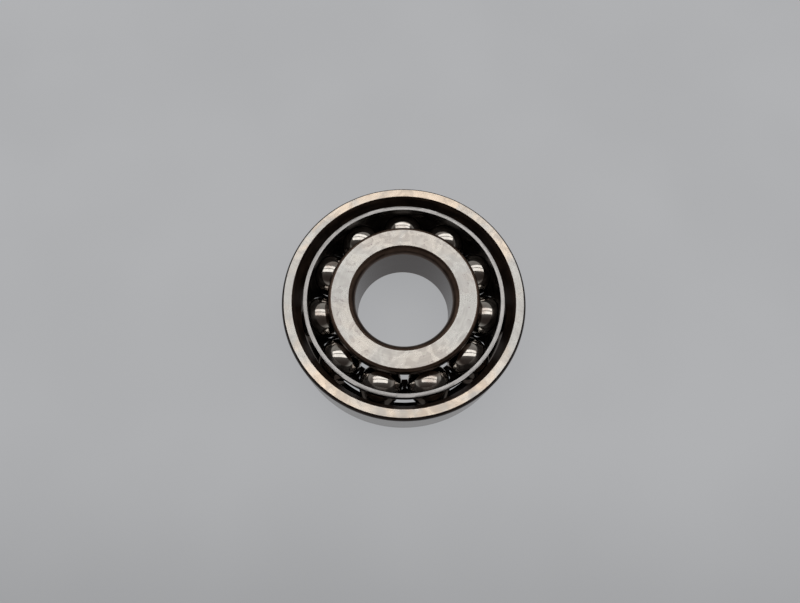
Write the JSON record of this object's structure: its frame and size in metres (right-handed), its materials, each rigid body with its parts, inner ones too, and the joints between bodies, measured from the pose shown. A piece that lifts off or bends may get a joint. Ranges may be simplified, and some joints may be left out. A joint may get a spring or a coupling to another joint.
{
  "type": "ball bearing",
  "caption": "Single-row angular-contact ball bearing with a counterbored outer ring, a high-shouldered inner ring, a pressed steel cage and polished balls.",
  "frame": {"origin": "on the axis of rotation, in the plane of the closed-side ring faces", "axes": "+Z along the axis of rotation, towards the open counterbored side; +X through the centre of ball_01"},
  "size_m": [0.062, 0.062, 0.017],
  "materials": {
    "outer_ring_steel": "ground bearing steel",
    "inner_ring_steel": "ground bearing steel",
    "cage_steel": "darkened pressed sheet steel",
    "ball_steel": "mirror polished"
  },
  "bodies": {
    "outer_ring": {"outer_ring": "outer_ring_steel"},
    "inner_ring": {"inner_ring": "inner_ring_steel"},
    "cage": {"cage": "cage_steel"},
    "ball_01": {"ball_01": "ball_steel"},
    "ball_02": {"ball_02": "ball_steel"},
    "ball_03": {"ball_03": "ball_steel"},
    "ball_04": {"ball_04": "ball_steel"},
    "ball_05": {"ball_05": "ball_steel"},
    "ball_06": {"ball_06": "ball_steel"},
    "ball_07": {"ball_07": "ball_steel"},
    "ball_08": {"ball_08": "ball_steel"},
    "ball_09": {"ball_09": "ball_steel"},
    "ball_10": {"ball_10": "ball_steel"},
    "ball_11": {"ball_11": "ball_steel"}
  },
  "joints": [
    {"name": "inner_ring_spin", "type": "hinge", "parent": "outer_ring", "child": "inner_ring", "pos_m": [0, 0, 0.0085], "axis": [0, 0, 1], "continuous": true},
    {"name": "cage_spin", "type": "hinge", "parent": "outer_ring", "child": "cage", "pos_m": [0, 0, 0.0085], "axis": [0, 0, 1], "continuous": true},
    {"name": "ball_01_spin", "type": "hinge", "parent": "cage", "child": "ball_01", "pos_m": [0.02175, 0, 0.0085], "axis": [0.6428, 0, 0.766], "continuous": true},
    {"name": "ball_02_spin", "type": "hinge", "parent": "cage", "child": "ball_02", "pos_m": [0.0183, 0.01176, 0.0085], "axis": [0.5407, 0.3475, 0.766], "continuous": true},
    {"name": "ball_03_spin", "type": "hinge", "parent": "cage", "child": "ball_03", "pos_m": [0.00904, 0.01978, 0.0085], "axis": [0.267, 0.5847, 0.766], "continuous": true},
    {"name": "ball_04_spin", "type": "hinge", "parent": "cage", "child": "ball_04", "pos_m": [-0.0031, 0.02153, 0.0085], "axis": [-0.0915, 0.6362, 0.766], "continuous": true},
    {"name": "ball_05_spin", "type": "hinge", "parent": "cage", "child": "ball_05", "pos_m": [-0.01424, 0.01644, 0.0085], "axis": [-0.4209, 0.4858, 0.766], "continuous": true},
    {"name": "ball_06_spin", "type": "hinge", "parent": "cage", "child": "ball_06", "pos_m": [-0.02087, 0.00613, 0.0085], "axis": [-0.6168, 0.1811, 0.766], "continuous": true},
    {"name": "ball_07_spin", "type": "hinge", "parent": "cage", "child": "ball_07", "pos_m": [-0.02087, -0.00613, 0.0085], "axis": [-0.6168, -0.1811, 0.766], "continuous": true},
    {"name": "ball_08_spin", "type": "hinge", "parent": "cage", "child": "ball_08", "pos_m": [-0.01424, -0.01644, 0.0085], "axis": [-0.4209, -0.4858, 0.766], "continuous": true},
    {"name": "ball_09_spin", "type": "hinge", "parent": "cage", "child": "ball_09", "pos_m": [-0.0031, -0.02153, 0.0085], "axis": [-0.0915, -0.6362, 0.766], "continuous": true},
    {"name": "ball_10_spin", "type": "hinge", "parent": "cage", "child": "ball_10", "pos_m": [0.00904, -0.01978, 0.0085], "axis": [0.267, -0.5847, 0.766], "continuous": true},
    {"name": "ball_11_spin", "type": "hinge", "parent": "cage", "child": "ball_11", "pos_m": [0.0183, -0.01176, 0.0085], "axis": [0.5407, -0.3475, 0.766], "continuous": true}
  ],
  "couplings": [
    {"joint": "cage_spin", "follows": "inner_ring_spin", "ratio": 0.40216},
    {"joint": "ball_01_spin", "follows": "inner_ring_spin", "ratio": -1.8824},
    {"joint": "ball_02_spin", "follows": "inner_ring_spin", "ratio": -1.8824},
    {"joint": "ball_03_spin", "follows": "inner_ring_spin", "ratio": -1.8824},
    {"joint": "ball_04_spin", "follows": "inner_ring_spin", "ratio": -1.8824},
    {"joint": "ball_05_spin", "follows": "inner_ring_spin", "ratio": -1.8824},
    {"joint": "ball_06_spin", "follows": "inner_ring_spin", "ratio": -1.8824},
    {"joint": "ball_07_spin", "follows": "inner_ring_spin", "ratio": -1.8824},
    {"joint": "ball_08_spin", "follows": "inner_ring_spin", "ratio": -1.8824},
    {"joint": "ball_09_spin", "follows": "inner_ring_spin", "ratio": -1.8824},
    {"joint": "ball_10_spin", "follows": "inner_ring_spin", "ratio": -1.8824},
    {"joint": "ball_11_spin", "follows": "inner_ring_spin", "ratio": -1.8824}
  ]
}
